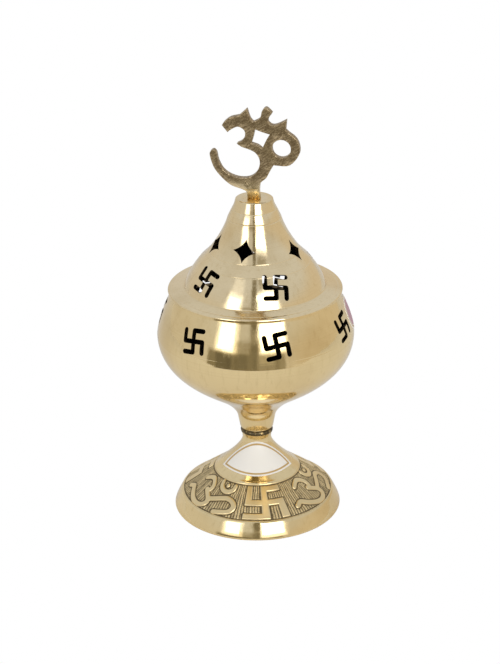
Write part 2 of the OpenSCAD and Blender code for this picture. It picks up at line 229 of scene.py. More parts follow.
class StageSettings(bpy.types.PropertyGroup):
    softbox_left: brightness("Left softbox", 1.5, "Brightness of the left softbox")
    softbox_right: brightness("Right softbox", 2.4, "Brightness of the right softbox")
    room: brightness("Room", 0.64, "Brightness of the white room round the object")
    camera_distance: length("Camera distance", 0.8085, "From the point it is aimed at")
    aim_height: length("Aim height", 0.08, "Height of the point it is aimed at")
    camera_elevation: FloatProperty(
        name="Camera elevation", description="Height of the camera as an angle",
        default=math.radians(23.62), subtype="ANGLE",
    )


def sizes():
    return bpy.context.scene.burner_sizes


def colours():
    return bpy.context.scene.burner_colours


def stage_settings():
    return bpy.context.scene.burner_stage


# ---- outlines: (radius, height) in millimetres, upward, as the burner is turned ----


def heading(degrees):
    turn = math.radians(degrees)
    return np.array([math.cos(turn), math.sin(turn)])


def turned_curve(start, end, leave, arrive, pull_start, pull_end, steps):
    """A smooth line from start to end that leaves and arrives at the given headings."""
    p, q = np.array(start, float), np.array(end, float)
    span = np.linalg.norm(q - p)
    u = p + pull_start * span * heading(leave)
    v = q - pull_end * span * heading(arrive)
    t = np.linspace(0, 1, steps + 1)[:, None]
    return (1 - t) ** 3 * p + 3 * t * (1 - t) ** 2 * u + 3 * t**2 * (1 - t) * v + t**3 * q


def beside(points, distance):
    """The line at a distance to the left of points."""
    points = np.asarray(points, float)
    ahead = np.vstack([points[1:], points[-1:]]) - np.vstack([points[:1], points[:-1]])
    ahead /= np.linalg.norm(ahead, axis=1)[:, None]
    return points + distance * np.stack([-ahead[:, 1], ahead[:, 0]], axis=1)


def radius_at(outline, height):
    outline = np.asarray(outline)
    return float(np.interp(height, outline[:, 1], outline[:, 0]))


def lean_at(outline, height):
    """How far an outline's face leans back at a height, in radians."""
    low, high = radius_at(outline, height - 3), radius_at(outline, height + 3)
    return math.atan((low - high) / 6)


def grooved(outline, height, width=0.36, depth=0.12):
    """An outline with a fine turned line cut across it at a height."""
    outline = np.asarray(outline, float)
    levels = height + width * np.array([-0.5, -0.2, 0.2, 0.5])
    cut = [radius_at(outline, z) - d for z, d in zip(levels, (0, depth, depth, 0))]
    below = outline[outline[:, 1] < levels[0] - 0.02]
    above = outline[outline[:, 1] > levels[-1] + 0.02]
    return np.vstack([below, np.stack([cut, levels], axis=1), above])


def softened(profile, reach=0.15, limit=18):
    """A closed outline with its sharp corners rounded a little."""
    points = [np.array(p, float) for p in profile]
    soft = []
    for i, corner in enumerate(points):
        back, ahead = points[i - 1] - corner, points[(i + 1) % len(points)] - corner
        a, b = np.linalg.norm(back), np.linalg.norm(ahead)
        turn = 180 - math.degrees(
            math.acos(max(-1, min(1, float(back @ ahead) / max(a * b, 1e-12))))
        )
        if turn < limit or corner[0] < 0.01:
            soft.append(corner)
            continue
        cut = min(reach, 0.4 * a, 0.4 * b)
        p, q = corner + back / a * cut, corner + ahead / b * cut
        middle = (p + q) / 4 + corner / 2
        soft += [p, middle, q]
    return soft


class BurnerOutlines:
    """Every turned outline of the burner, worked out from its sizes."""

    def __init__(self, s):
        foot_r = s.foot_radius / MM
        joint = s.joint_height / MM
        bowl_r = s.belly_radius / MM
        rim = s.rim_height / MM
        top = s.lid_height / MM
        flange_r = s.flange_radius / MM
        wall = s.bowl_wall / MM
        self.joint, self.rim, self.top, self.wall = joint, rim, top, wall
        self.foot_r, self.flange_r = foot_r, flange_r

        self.foot_rim = turned_curve((foot_r, 0.5), (foot_r - 2.8, 6.5), 106, 118, 0.3, 0.3, 10)
        self.band_start = np.array([foot_r - 3.4, 7.3])
        self.band_end = np.array([18.3, 17.6])
        self.foot_cone = turned_curve(
            self.band_end + [-0.9, 0.6], (6.1, joint - 4.6), 141, 87, 0.31, 0.2, 30
        )
        self.foot_bead = [(6.2, joint - 3.4), (6.8, joint - 1.9), (6.9, joint - 1.2),
                          (6.5, joint - 0.4), (5.7, joint)]

        belly_up = 44.5
        self.belly_z = joint + belly_up
        belly_foot = (bowl_r * 0.533, joint + belly_up * 0.4315)
        self.flare = turned_curve((7.9, joint + 5.1), belly_foot, 83, 32.5, 0.26, 0.36, 22)
        self.belly = turned_curve(belly_foot, (bowl_r, self.belly_z), 32.5, 90, 0.38, 0.38, 34)
        self.mouth_r = bowl_r - 8.1
        edge = (self.mouth_r + wall + 0.3, rim - 1)
        self.bowl_neck = turned_curve(
            (bowl_r - 0.04, self.belly_z + 0.3), edge, 97, 115, 0.32, 0.34, 26
        )
        self.bowl_inside = beside(np.vstack([self.belly[:-1], self.bowl_neck]), wall)

        dome = turned_curve(
            (flange_r - 6.8, rim + 2.1), (22.8, rim + 13.5), 109, 128, 0.32, 0.35, 20
        )
        spire = turned_curve((19.2, rim + 17), (11, top - 8), 129, 106, 0.26, 0.33, 24)
        self.lid_wall = np.vstack([dome, spire, [[8.3, top - 2.5]]])


# ---- making meshes ----


def new_object(name, data):
    made = bpy.data.objects.new(name, data)
    bpy.context.scene.collection.objects.link(made)
    return made


def finish_piece(name, mesh, body, replaces, slot, *materials):
    """Gives a mesh the materials it still lacks, and hangs it on its body."""
    for material in materials:
        mesh.materials.append(bpy.data.materials[material])
    piece = new_object(name, mesh)
    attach(piece, body)
    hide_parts(*replaces)


def shade(mesh, sharp_over):
    mesh.shade_smooth()
    mesh.set_sharp_from_angle(angle=math.radians(sharp_over))


def mesh_from(shape, name, sharp_over=32):
    """A smooth-shaded mesh, sharp only over the given angle."""
    mesh = bpy.data.meshes.new(name)
    shape.to_mesh(mesh)
    shape.free()
    shade(mesh, sharp_over)
    return mesh


def spin_outline(profile, steps):
    """Turns a closed outline, in millimetres, about the upright axis."""
    shape = bmesh.new()
    corners = [shape.verts.new((r * MM, 0, z * MM)) for r, z in profile]
    edges = [
        shape.edges.new((corners[i], corners[(i + 1) % len(corners)]))
        for i in range(len(corners))
        if profile[i][0] > 1e-6 or profile[(i + 1) % len(corners)][0] > 1e-6
    ]
    bmesh.ops.spin(
        shape, geom=corners + edges, cent=(0, 0, 0), axis=(0, 0, 1), dvec=(0, 0, 0),
        angle=2 * math.pi, steps=steps, use_merge=True, use_duplicate=False,
    )
    bmesh.ops.remove_doubles(shape, verts=shape.verts[:], dist=1e-7)
    loose = [v for v in shape.verts if not v.link_faces]
    bmesh.ops.delete(shape, geom=loose, context="VERTS")
    bmesh.ops.recalc_face_normals(shape, faces=shape.faces[:])
    return shape


def mark_inside(shape, outline, wall):
    """Puts the second material on every face that lies inside an outer outline."""
    top = outline[-1][1] - 0.4
    for face in shape.faces:
        middle = face.calc_center_median() / MM
        reach = math.hypot(middle.x, middle.y)
        if middle.z < top and reach < radius_at(outline, middle.z) - 0.6 * wall:
            face.material_index = 1


def wall_frame(outline, height, degrees, tilt):
    """Where a flat sign stands on an outline: x to the right, y up the wall, z outward."""
    place = Matrix.Rotation(math.radians(degrees), 4, "Z")
    place @= Matrix.Translation((0, -radius_at(outline, height) * MM, height * MM))
    place @= Matrix.Rotation(math.pi / 2 - lean_at(outline, height), 4, "X")
    return place @ Matrix.Rotation(math.radians(tilt), 4, "Z")


def sun_outline(width, line):
    """A cross whose arms turn clockwise, with the round ends and corners of a cutter."""
    hook, half = (width - line) / 2, line / 2
    arm = [(half, half), (half, hook - half), (hook, hook - half)]
    arm += [
        (hook + half * math.cos(a), hook + half * math.sin(a))
        for a in np.radians([-60, -30, 0, 30, 60, 90])
    ]
    arm += [
        (half * math.cos(a), hook + half * math.sin(a)) for a in np.radians([90, 120, 150, 180])
    ]
    return [Matrix.Rotation(q * math.pi / 2, 2) @ Vector(p) for q in range(4) for p in arm]


def star_outline(width, height):
    """A four-pointed star with hollow sides."""
    points = []
    for q in range(4):
        along = Vector((math.cos(q * math.pi / 2), math.sin(q * math.pi / 2)))
        after = Vector((-along.y, along.x))
        for k in range(7):
            t = k / 7
            p = (1 - t) ** 2 * along + 0.52 * t * (1 - t) * (along + after) + t * t * after
            points.append(Vector((p.x * width / 2, p.y * height / 2)))
    return points


def add_cutters(shape, outline, wall, level, openings, tilt, deep):
    """Stands cutters of one outline on a turned wall, to reach deep mm into it."""
    for degrees, high in openings:
        place = wall_frame(wall, level + high, degrees, tilt)
        corners = [shape.verts.new(place @ Vector((p.x, p.y, -deep * MM))) for p in outline]
        face = shape.faces.new(corners)
        grown = bmesh.ops.extrude_face_region(shape, geom=[face])["geom"]
        outward = place.to_3x3() @ Vector((0, 0, deep * MM + CUTTER_PROUD * MM))
        moved = [v for v in grown if isinstance(v, bmesh.types.BMVert)]
        bmesh.ops.translate(shape, verts=moved, vec=outward)
    for side in shape.faces:
        side.material_index = 2


def pierced(shape, cutters, name, materials):
    """The mesh of a wall with its signs cut through; cut faces take the third material."""
    bmesh.ops.recalc_face_normals(cutters, faces=cutters.faces[:])
    meshes = [bpy.data.meshes.new(name), bpy.data.meshes.new(name + "_cutter")]
    for made, mesh in zip((shape, cutters), meshes):
        for material in materials:
            mesh.materials.append(bpy.data.materials[material])
        made.to_mesh(mesh)
        made.free()
    wall, tool = (new_object(mesh.name, mesh) for mesh in meshes)
    cut = wall.modifiers.new("Pierce", "BOOLEAN")
    cut.operation = "DIFFERENCE"
    cut.solver = "EXACT"
    cut.object = tool
    bpy.context.view_layer.update()
    evaluated = wall.evaluated_get(bpy.context.evaluated_depsgraph_get())
    mesh = bpy.data.meshes.new_from_object(evaluated)
    for made in (wall, tool):
        bpy.data.objects.remove(made)
    for old in meshes:
        bpy.data.meshes.remove(old)
    mesh.name = name
    shade(mesh, 32)
    return mesh


# ---- materials ----


class Nodes:
    """Short names for building a node tree."""

    def __init__(self, tree):
        self.tree = tree

    def add(self, kind, inputs=None, **settings):
        """A new node, its inputs linked to sockets or set to values."""
        node = self.tree.nodes.new(kind)
        for key, value in settings.items():
            setattr(node, key, value)
        for socket, value in (inputs or {}).items():
            self.link(value, node.inputs[socket])
        return node

    def link(self, value, socket):
        if isinstance(value, bpy.types.NodeSocket):
            self.tree.links.new(value, socket)
        else:
            socket.default_value = value

    def math(self, operation, a, b=0.0):
        return self.add("ShaderNodeMath", {0: a, 1: b}, operation=operation).outputs[0]

    def times(self, a, b):
        return self.math("MULTIPLY", a, b)

    def split(self, vector):
        return self.add("ShaderNodeSeparateXYZ", {0: vector}).outputs

    def reach(self, a, b):
        """How far (a, b) is from the origin."""
        return self.math("SQRT", self.math("ADD", self.times(a, a), self.times(b, b)))

    def fade(self, value, low, high, start=0.0, end=1.0):
        inputs = dict(enumerate((value, low, high, start, end)))
        return self.add(
            "ShaderNodeMapRange", inputs, interpolation_type="SMOOTHSTEP"
        ).outputs[0]

    def blend(self, factor, a, b):
        """Mixes two colours, each a socket or three numbers."""
        a, b = (c if isinstance(c, bpy.types.NodeSocket) else (*c, 1.0) for c in (a, b))
        inputs = {"Factor": factor, 6: a, 7: b}
        return self.add("ShaderNodeMix", inputs, data_type="RGBA").outputs[2]

    def noise(self, vector, scale, detail=3.0, roughness=0.55):
        inputs = {"Vector": vector, "Scale": scale, "Detail": detail, "Roughness": roughness}
        return self.add("ShaderNodeTexNoise", inputs).outputs["Fac"]

    def bump(self, height, distance, strength=1.0, normal=None):
        inputs = {"Strength": strength, "Distance": distance, "Height": height}
        if normal is not None:
            inputs["Normal"] = normal
        return self.add("ShaderNodeBump", inputs).outputs["Normal"]


def new_material(name, metallic, roughness, specular=0.5):
    """A named material's nodes, its shader and the object's coordinates."""
    material = bpy.data.materials.new(name)
    material.use_nodes = True
    nodes = Nodes(material.node_tree)
    shader = material.node_tree.nodes["Principled BSDF"]
    shader.inputs["Metallic"].default_value = metallic
    shader.inputs["Roughness"].default_value = roughness
    shader.inputs["Specular IOR Level"].default_value = specular
    return nodes, shader, nodes.add("ShaderNodeTexCoord").outputs["Object"]


def coat(nodes, shader, tone, rough, normal):
    """Gives a shader its colour, its roughness and its relief."""
    for name, value in (("Base Color", tone), ("Roughness", rough), ("Normal", normal)):
        nodes.link(value, shader.inputs[name])


def turning_vector(nodes, where):
    """(radius, 0, height): a pattern on it runs in rings, as lathe marks do."""
    x, y, z = nodes.split(where)
    return nodes.add("ShaderNodeCombineXYZ", {0: nodes.reach(x, y), 2: z}).outputs[0]


def upright_streaks(nodes, where, scale, stretch):
    """Noise drawn out along the upright axis, as hand polishing leaves it."""
    drawn = nodes.add("ShaderNodeMapping", {"Vector": where, "Scale": (1, 1, 1 / stretch)})
    return nodes.noise(drawn.outputs[0], scale, 4.0, 0.6)


def turned_brass(name, polish, roughness):
    """Polished brass with fine turning lines, upright wipe marks and a little tarnish."""
    nodes, shader, where = new_material(name, 1.0, roughness)
    tarnish = colours().tarnish
    rings = turning_vector(nodes, where)
    fine = nodes.noise(rings, 2600, 2.0)
    coarse = nodes.noise(rings, 420, 2.0)
    cloud = nodes.noise(where, 38, 4.0)
    specks = nodes.noise(where, 900, 2.0)
    wipes = upright_streaks(nodes, where, 170, 4.0)
    smears = upright_streaks(nodes, where, 620, 7.0)
    tone = polish
    for pattern, low, high, strength in (
        (cloud, 0.42, 0.72, 0.42), (fine, 0.52, 0.78, 0.22), (smears, 0.5, 0.75, 0.26)
    ):
        dulled = nodes.times(nodes.fade(pattern, low, high), strength)
        tone = nodes.blend(dulled, tone, tarnish)
    rough = nodes.fade(wipes, 0.42, 0.72, roughness - 0.02, roughness + 0.07)
    for pattern, low, strength in ((specks, 0.6, 0.08), (coarse, 0.55, 0.05)):
        dulled = nodes.times(nodes.fade(pattern, low, 0.8), strength)
        rough = nodes.math("ADD", rough, dulled)
    relief = nodes.bump(nodes.noise(where, 60, 2.0), 0.00016, 0.5)
    for pattern, depth, strength in (
        (wipes, 0.00006, 0.7), (smears, 0.000012, 0.7), (coarse, 0.00002, 0.6),
        (fine, 0.000006, 0.7),
    ):
        relief = nodes.bump(pattern, depth, strength, relief)
    coat(nodes, shader, tone, rough, relief)


def engraved_brass(name):
    """Band brass: plain where it stands proud, dark oxide down in the cuts."""
    nodes, shader, where = new_material(name, 1.0, 0.22)
    depth = nodes.add("ShaderNodeAttribute", attribute_name="cut_depth").outputs["Fac"]
    grain = nodes.noise(where, 700, 4.0)
    cloud = nodes.noise(where, 60, 3.0)
    rough_edge = nodes.times(nodes.math("SUBTRACT", grain, 0.5), 0.5)
    dirt = nodes.math("ADD", depth, rough_edge)
    wear = nodes.fade(cloud, 0.4, 0.8, 0.05, 0.4)
    worn = nodes.blend(wear, colours().brass, colours().tarnish)
    tone = nodes.blend(nodes.fade(dirt, 0.42, 1.05), worn, colours().patina)
    rough = nodes.fade(dirt, 0.0, 1.0, 0.28, 0.55)
    coat(nodes, shader, tone, rough, nodes.bump(grain, 0.00004, 0.5))


def cast_brass(name):
    """Brass as cast and filed by hand: fine slanting streaks on a grainy olive skin."""
    nodes, shader, where = new_material(name, 1.0, 0.34)
    turn = (0, math.radians(58), 0)
    slant = nodes.add(
        "ShaderNodeMapping", {"Vector": where, "Rotation": turn, "Scale": (1, 1, 4.5)},
        vector_type="TEXTURE",
    )
    streaks = nodes.noise(slant.outputs[0], 1500, 4.0, 0.65)
    grain = nodes.noise(where, 2200, 4.0, 0.6)
    cloud = nodes.noise(where, 150, 3.0)
    mixed = nodes.math("ADD", nodes.times(streaks, 0.6), nodes.times(grain, 0.4))
    tone = nodes.blend(nodes.fade(mixed, 0.43, 0.59), colours().cast_dark, colours().cast)
    rubbed = nodes.times(nodes.fade(mixed, 0.56, 0.68), nodes.fade(cloud, 0.4, 0.6))
    tone = nodes.blend(rubbed, tone, colours().tarnish)
    neck = sizes().lid_height
    near_neck = nodes.fade(nodes.split(where)[2], neck + 4 * MM, neck + 9 * MM, 0.75, 0.0)
    tone = nodes.blend(near_neck, tone, colours().lid_brass)
    dull = nodes.fade(mixed, 0.35, 0.65, 0.46, 0.24)
    dull = nodes.math("SUBTRACT", dull, nodes.times(near_neck, 0.12))
    lumps = nodes.bump(cloud, 0.0004, 0.35)
    coat(nodes, shader, tone, dull, nodes.bump(mixed, 0.0002, 0.55, lumps))


def painted_shade_brass(name):
    """The bead under the stem, painted dark as painted shade of the recess at the joint, with a
    little brass rubbed through.
    """
    nodes, shader, where = new_material(name, 1.0, 0.4)
    cloud = nodes.noise(where, 700, 4.0)
    rings = nodes.noise(turning_vector(nodes, where), 1800, 2.0)
    rubbed = nodes.fade(cloud, 0.52, 0.72, 0.0, 0.7)
    tone = nodes.blend(rubbed, colours().bead, colours().tarnish)
    rough = nodes.fade(cloud, 0.3, 0.7, 0.5, 0.3)
    coat(nodes, shader, tone, rough, nodes.bump(rings, 0.00004, 0.6))


def sooty_brass(name):
    """Inside of the burner: brass dulled by smoke, with soot in patches."""
    nodes, shader, where = new_material(name, 0.3, 0.6, 0.2)
    cloud = nodes.noise(where, 120, 5.0)
    rings = nodes.noise(turning_vector(nodes, where), 1300, 2.0)
    tone = nodes.blend(nodes.fade(cloud, 0.3, 0.62), colours().smoke, colours().soot)
    rough = nodes.fade(cloud, 0.3, 0.7, 0.42, 0.75)
    coat(nodes, shader, tone, rough, nodes.bump(rings, 0.00003, 0.5))


def cut_brass(name):
    """Walls of the pierced signs: chiselled brass that smoke has browned."""
    nodes, shader, where = new_material(name, 1.0, 0.42)
    chisel = nodes.noise(where, 1400, 3.0)
    cloud = nodes.noise(where, 420, 3.0)
    tone = nodes.blend(nodes.fade(cloud, 0.38, 0.68), colours().smoke, colours().cast_dark)
    rough = nodes.fade(chisel, 0.3, 0.7, 0.36, 0.55)
    coat(nodes, shader, tone, rough, nodes.bump(chisel, 0.00015, 0.6))


def machined_brass(name):
    """Bar-stock brass of nuts, washers and studs: dull, with close tool marks."""
    nodes, shader, where = new_material(name, 1.0, 0.32)
    rings = nodes.noise(turning_vector(nodes, where), 2200, 2.0)
    cloud = nodes.noise(where, 300, 3.0)
    dulled = nodes.fade(cloud, 0.35, 0.75, 0.1, 0.8)
    tone = nodes.blend(dulled, colours().brass, colours().tarnish)
    rough = nodes.fade(rings, 0.3, 0.7, 0.26, 0.42)
    coat(nodes, shader, tone, rough, nodes.bump(rings, 0.00003, 0.7))


def arc_radius(half_width, half_height):
    """Radius of each of the two arcs that make a pointed label."""
    return (half_width**2 + half_height**2) / (2 * half_height)


def oval_edge(nodes, across, up, half_width, half_height):
    """How far inside an oval's edge a point is."""
    u = nodes.math("DIVIDE", across, half_width)
    v = nodes.math("DIVIDE", up, half_height)
    return nodes.times(nodes.math("SUBTRACT", 1.0, nodes.reach(u, v)), half_height)


def lens_edge(nodes, across, up, half_width, half_height):
    """How far inside the two arcs of a pointed label a point is."""
    arc = arc_radius(half_width, half_height)
    lifted = nodes.math("ADD", nodes.math("ABSOLUTE", up), arc - half_height)
    return nodes.math("SUBTRACT", arc, nodes.reach(across, lifted))


def label_paper(name, place, half_width, half_height, pointed, middle):
    """Coated paper with a plain printed line just inside its edge."""
    nodes, shader, where = new_material(name, 0.0, 0.42, 0.45)
    offset = nodes.add(
        "ShaderNodeVectorMath", {0: where, 1: place.translation}, operation="SUBTRACT"
    )
    along = []
    for axis in (place.col[0].xyz, place.col[1].xyz):
        measured = nodes.add(
            "ShaderNodeVectorMath", {0: offset.outputs[0], 1: axis}, operation="DOT_PRODUCT"
        )
        along.append(measured.outputs["Value"])
    edge = (lens_edge if pointed else oval_edge)(nodes, *along, half_width, half_height)
    line = nodes.times(
        nodes.fade(edge, 0.0006, 0.0008), nodes.fade(edge, 0.0013, 0.0015, 1, 0)
    )
    fibres = nodes.noise(where, 2400, 4.0)
    faint = nodes.fade(fibres, 0.35, 0.75, 0.0, 0.10)
    tone = nodes.blend(faint, colours().paper, colours().border)
    tone = nodes.blend(nodes.fade(edge, 0.0016, 0.0018), tone, middle)
    tone = nodes.blend(line, tone, colours().border)
    coat(nodes, shader, tone, 0.42, nodes.bump(fibres, 0.00002, 0.4))


def flat_label(half_width, half_height, pointed):
    """A flat sheet cut to a pointed or an oval outline, x to the right and y up."""
    shape = bmesh.new()
    bmesh.ops.create_grid(shape, x_segments=56, y_segments=24, size=1.0)
    arc = arc_radius(half_width, half_height)
    for vert in shape.verts:
        across = math.sin(vert.co.x * math.pi / 2)
        if pointed:
            reach = math.sqrt(arc**2 - (across * half_width) ** 2) - arc + half_height
        else:
            reach = math.sqrt(max(0.0, 1 - across**2)) * half_height
        vert.co = (across * half_width, vert.co.y * max(0.0, reach), 0)
    bmesh.ops.remove_doubles(shape, verts=shape.verts[:], dist=1e-6)
    return shape


def lay_on_wall(shape, outline, place):
    """Presses a flat sheet straight on to a turned wall, and gives it its thickness."""
    depths = np.arange(-6, 14, 0.02)
    inward = -np.array(place.col[2].xyz)
    outline = np.asarray(outline)
    for vert in shape.verts:
        path = np.array(place @ vert.co) / MM + depths[:, None] * inward
        wall = np.interp(path[:, 2], outline[:, 1], outline[:, 0]) + PAPER
        inside = np.hypot(path[:, 0], path[:, 1]) < wall
        vert.co = Vector(path[int(np.argmax(inside))] * MM)
    shape.normal_update()
    bmesh.ops.solidify(shape, geom=shape.faces[:], thickness=0.9 * PAPER * MM)


# ---- the engraved band ----


def smooth_path(points, steps=5):
    """A smooth open line through points."""
    points = np.array(points, float)
    slopes = (np.vstack([points[1:], points[-1:]]) - np.vstack([points[:1], points[:-1]])) / 6
    path = []
    for p, q, a, b in zip(points[:-1], points[1:], slopes[:-1], slopes[1:]):
        for t in np.linspace(0, 1, steps + 1)[:-1]:
            path.append((1 - t) ** 3 * p + 3 * t * (1 - t) ** 2 * (p + a)
                        + 3 * t * t * (1 - t) * (q - b) + t**3 * q)
    return np.array(path + [points[-1]])


def distance_to_path(spots, path):
    """How far each spot is from a line of straight steps."""
    nearest = np.full(len(spots), FAR)
    for p, q in zip(path[:-1], path[1:]):
        step = q - p
        t = np.clip((spots - p) @ step / max(step @ step, 1e-12), 0, 1)
        nearest = np.minimum(nearest, np.linalg.norm(spots - p - t[:, None] * step, axis=1))
    return nearest


def distance_to_bar(spots, low, high):
    """How far each spot is outside a straight-sided bar, less than 0 inside it."""
    low, high = np.array(low, float), np.array(high, float)
    over = np.abs(spots - (low + high) / 2) - (high - low) / 2
    return np.linalg.norm(np.maximum(over, 0), axis=1) + np.minimum(over.max(axis=1), 0)


def distance_to_om(spots):
    """How far each spot is outside the raised Om, less than 0 on it."""
    nearest = np.full(len(spots), FAR)
    for points in (OM_LOBE, OM_BOWL, OM_TAIL, OM_CRESCENT):
        nearest = np.minimum(nearest, distance_to_path(spots, smooth_path(points)) - OM_LINE / 2)
    dot = np.linalg.norm(spots - np.array(OM_DOT), axis=1) - OM_DOT_RADIUS
    return np.minimum(nearest, dot)


def distance_to_sun(spots):
    """How far each spot is outside the raised sun sign, less than 0 on it."""
    width, height = SUN_SIZE
    across, up, line = width / 2, height / 2, SUN_LINE / 2
    thick = line * width / height
    bars = [
        ((-thick, -up), (thick, up)), ((-across, -line), (across, line)),
        ((-thick, up - 2 * line), (across, up)), ((-across, -up), (thick, -up + 2 * line)),
        ((across - 2 * thick, -up), (across, line)), ((-across, -line), (-across + 2 * thick, up)),
    ]
    return np.min([distance_to_bar(spots, low, high) for low, high in bars], axis=0)


def smooth_step(values, low, high):
    t = np.clip((values - low) / (high - low), 0, 1)
    return t * t * (3 - 2 * t)


def hatching(turn, slope, nearest, chance):
    """Height of the chiselled ribs, from 0 in a cut to 1 on a crest."""
    row = np.floor((slope + 1.3 * np.sin(turn * 11)) / RIB_ROW).astype(int)
    sway = chance.uniform(-0.35, 0.35, 64)[row % 64]
    slant = chance.uniform(-0.05, 0.05, 64)[(row * 7) % 64]
    phase = turn / (2 * np.pi) * RIBS_ROUND + sway + slant * slope
    bead = 0.82 + 0.18 * np.sin(slope * 7.5 + 3 * np.floor(phase))
    crest = np.clip(1.25 * np.abs(np.sin(np.pi * phase)) - 0.2, 0, 1) * bead
    depth = chance.uniform(0.55, 1.0, 997)[np.floor(phase).astype(int) % 997]
    return crest * depth * smooth_step(nearest, 0.45, 0.75)


# ---- operators, one for each piece or group of like pieces ----


class BURNER_OT_foot(bpy.types.Operator):
    """Turns the hollow foot, with a recess for its engraved band"""

    bl_idname = "burner.foot"
    bl_label = "Foot"

    def execute(self, context):
        lines = BurnerOutlines(sizes())
        start, end = lines.band_start, lines.band_end
        ahead = (end - start) / np.linalg.norm(end - start)
        inward = np.array([-ahead[1], ahead[0]])
        outside = [(lines.foot_r - 0.3, 0), *lines.foot_rim, start, start + 0.6 * inward]
        outside += [end + 0.6 * inward, end]
        cone = grooved(lines.foot_cone, 20.2, depth=0.08)
        skin = np.vstack([lines.foot_rim, [start], [end], lines.foot_cone])
        seat = lines.joint - SEAT_THICKNESS
        hollow = [p for p in beside(skin, FOOT_WALL) if 0.6 < p[1] < seat - 0.5]
        inside = [(FOOT_BORE, lines.joint), (FOOT_BORE, seat), (hollow[-1][0], seat)]
        inside += [*hollow[::-1], (lines.foot_r - FOOT_WALL, 0)]
        profile = [*outside, *cone, *lines.foot_bead, *inside]
        shape = spin_outline(softened(profile), sizes().turning_steps)
        mark_inside(shape, np.vstack([skin, lines.foot_bead]), FOOT_WALL)
        # Painted shade: the outer faces of the bead just under the joint take the dark bead
        # material, for the shade in the recess between foot and stem
        for face in shape.faces:
            middle = face.calc_center_median() / MM
            if face.material_index == 0 and middle.z > lines.joint - BEAD_TALL:
                face.material_index = 2
        mesh = mesh_from(shape, "foot_turned")
        finish_piece(
            "foot_turned", mesh, "base", ["foot"], "engraved_brass", "bowl_brass",
            "smoked_brass", "bead_painted_shade",
        )
        return {"FINISHED"}


class BURNER_OT_band(bpy.types.Operator):
    """Turns the foot's band and engraves it: raised signs on a hatched, oxidised ground"""

    bl_idname = "burner.band"
    bl_label = "Engraved band"

    def execute(self, context):
        lines = BurnerOutlines(sizes())
        start, end = lines.band_start, lines.band_end
        span = np.linalg.norm(end - start)
        ahead = (end - start) / span
        outward = np.array([ahead[1], -ahead[0]])
        face = [start + ahead * (span * i / BAND_ROWS) for i in range(BAND_ROWS + 1)]
        under = [end - 0.7 * outward, start - 0.7 * outward]
        shape = spin_outline([*face, *under], BAND_STEPS)
        self.engrave(shape, start, ahead, outward, span)
        bmesh.ops.recalc_face_normals(shape, faces=shape.faces[:])
        mesh = mesh_from(shape, "foot_band", 60)
        finish_piece("foot_band", mesh, "base", ["foot"], "engraved_brass", "band_brass")
        return {"FINISHED"}

    def engrave(self, shape, start, ahead, outward, span):
        shape.verts.ensure_lookup_table()
        spots = np.array([v.co[:] for v in shape.verts]) / MM
        reach = np.hypot(spots[:, 0], spots[:, 1])
        turn = np.arctan2(spots[:, 0], -spots[:, 1])
        profile = np.stack([reach, spots[:, 2]], axis=1) - start
        slope = profile @ ahead
        proud = profile @ outward > -0.1
        middle = start + ahead * span / 2
        nearest = np.full(len(spots), FAR)
        for i in range(BAND_SIGNS):
            away = turn - math.radians(BAND_SIGN_AT + 360 / BAND_SIGNS * i)
            away = (away + np.pi) % (2 * np.pi) - np.pi
            flat = np.stack([away * middle[0], slope - span / 2], axis=1)
            close = np.abs(away) < math.radians(40)
            found = (distance_to_om if i % 2 else distance_to_sun)(flat[close])
            nearest[close] = np.minimum(nearest[close], found)
        margin = np.minimum(slope, span - slope)
        nearest = np.minimum(nearest, margin - 0.35)
        ribs = hatching(turn, slope, nearest, np.random.default_rng(RIB_SEED))
        deep = sizes().engraving / MM
        rib = sizes().rib_height / MM
        ground = smooth_step(nearest, -0.12, 0.18)
        sink = ground * (deep - rib * ribs)
        sink[~proud] = 0
        depth_layer = shape.verts.layers.float.new("cut_depth")
        for vert, down, spot in zip(shape.verts, sink, spots):
            vert[depth_layer] = float(down / deep)
            if down > 0:
                away = Vector((spot[0], spot[1], 0)).normalized()
                step = away * outward[0] + Vector((0, 0, outward[1]))
                vert.co -= step * float(down) * MM


class BURNER_OT_bowl(bpy.types.Operator):
    """Turns the stem and the bowl in one, and cuts the sun signs through its neck"""

    bl_idname = "burner.bowl"
    bl_label = "Bowl"

    def execute(self, context):
        lines = BurnerOutlines(sizes())
        joint, rim, wall, mouth = lines.joint, lines.rim, lines.wall, lines.mouth_r
        neck = grooved(lines.bowl_neck, lines.belly_z + 2.6, depth=0.015)
        belly = grooved(lines.belly[:-1], lines.belly_z - 1.2, depth=0.03)
        belly = grooved(belly, lines.belly_z - 2.3, depth=0.02)
        outside = [(STUD_BORE, joint), (5.7, joint), (6.9, joint + 0.3), (7.1, joint + 0.8)]
        outside += [*lines.flare, *belly[1:], lines.belly[-1], *neck]
        outside += [(mouth + wall + 0.2, rim - 0.3), (mouth + wall - 0.1, rim)]
        inside = [(mouth + 0.2, rim), (mouth, rim - 0.3), (mouth, rim - 2)]
        hollow = [p for p in lines.bowl_inside if p[1] < rim - 3]
        inside += hollow[::-1]
        hole_top = joint + STUD_HOLE_DEPTH
        floor = [(0, hollow[0][1]), (0, hole_top), (STUD_BORE, hole_top)]
        profile = softened([*outside, *inside, *floor])
        shape = spin_outline(profile, sizes().turning_steps)
        skin = np.vstack([[(5.7, joint)], [(7.1, joint + 0.8)], lines.flare, lines.belly,
                          lines.bowl_neck, [(mouth + wall - 0.1, rim)]])
        mark_inside(shape, skin, wall)
        cutters = bmesh.new()
        sign = sun_outline(sizes().sign_width, sizes().slot_width)
        level = rim - BOWL_SIGN_DROP
        add_cutters(cutters, sign, lines.bowl_neck, level, BOWL_SIGNS, SIGN_TILT, SIGN_CUT)
        finishes = ("bowl_brass", "smoked_brass", "cut_brass")
        mesh = pierced(shape, cutters, "bowl_turned", finishes)
        finish_piece("bowl_turned", mesh, "base", ["bowl"], "polished_brass")
        return {"FINISHED"}


